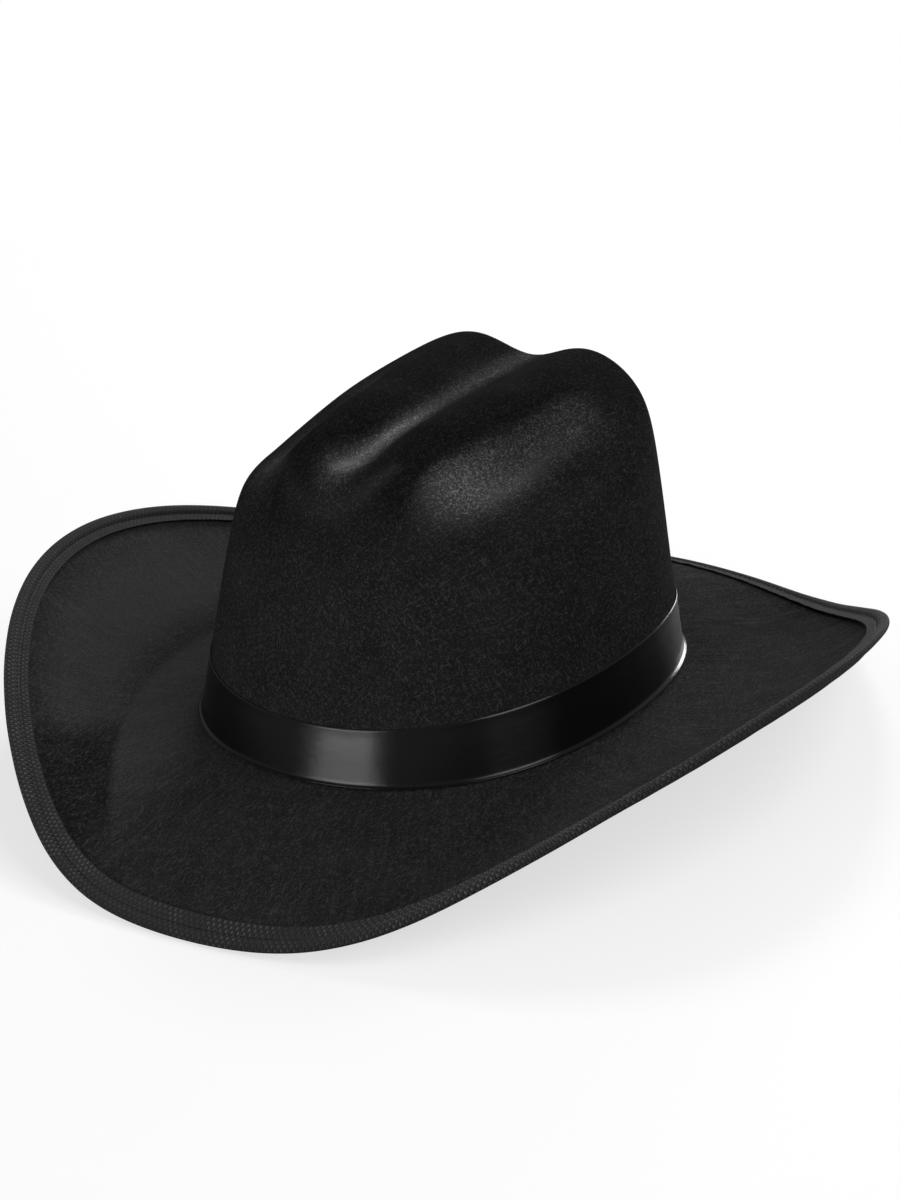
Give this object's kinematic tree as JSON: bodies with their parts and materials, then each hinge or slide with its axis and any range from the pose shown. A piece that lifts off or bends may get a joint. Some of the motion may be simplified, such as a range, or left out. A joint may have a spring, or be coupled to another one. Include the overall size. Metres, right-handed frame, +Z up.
{
  "type": "cowboy hat",
  "caption": "Pressed felt cattleman hat with a creased and dented crown, a rolled wired brim bound in tape, a satin ribbon band and an inner sweatband.",
  "frame": {"origin": "centre of the head opening, on the band line where the crown meets the brim", "axes": "+Z up when the hat stands on its brim, -Y to the front of the hat, +X to the wearer's left; the band line is tipped back 1.96 degrees so that the front and back dips of the brim rest on one level"},
  "size_m": [0.3402, 0.3659, 0.1393],
  "materials": {
    "felt": "black pressed non-woven felt with short directional fibres",
    "binding_tape": "dark twill-woven tape with a dotted chevron weave",
    "wire": "plain drawn wire",
    "ferrule": "plain",
    "thread": "black spun sewing thread",
    "satin_ribbon": "black satin, glossy across the weft",
    "sweatband_cloth": "black ribbed cotton tape",
    "seam_tape": "black plain-woven tape"
  },
  "bodies": {
    "root": {"felt_body": "felt", "edge_binding": "binding_tape", "brim_wire": "wire", "wire_ferrule": "ferrule", "binding_needle_thread": "thread", "binding_bobbin_thread": "thread", "hatband": "satin_ribbon", "hatband_stitches": "thread", "sweatband": "sweatband_cloth", "sweatband_seam_tape": "seam_tape", "sweatband_thread": "thread"}
  },
  "joints": []
}
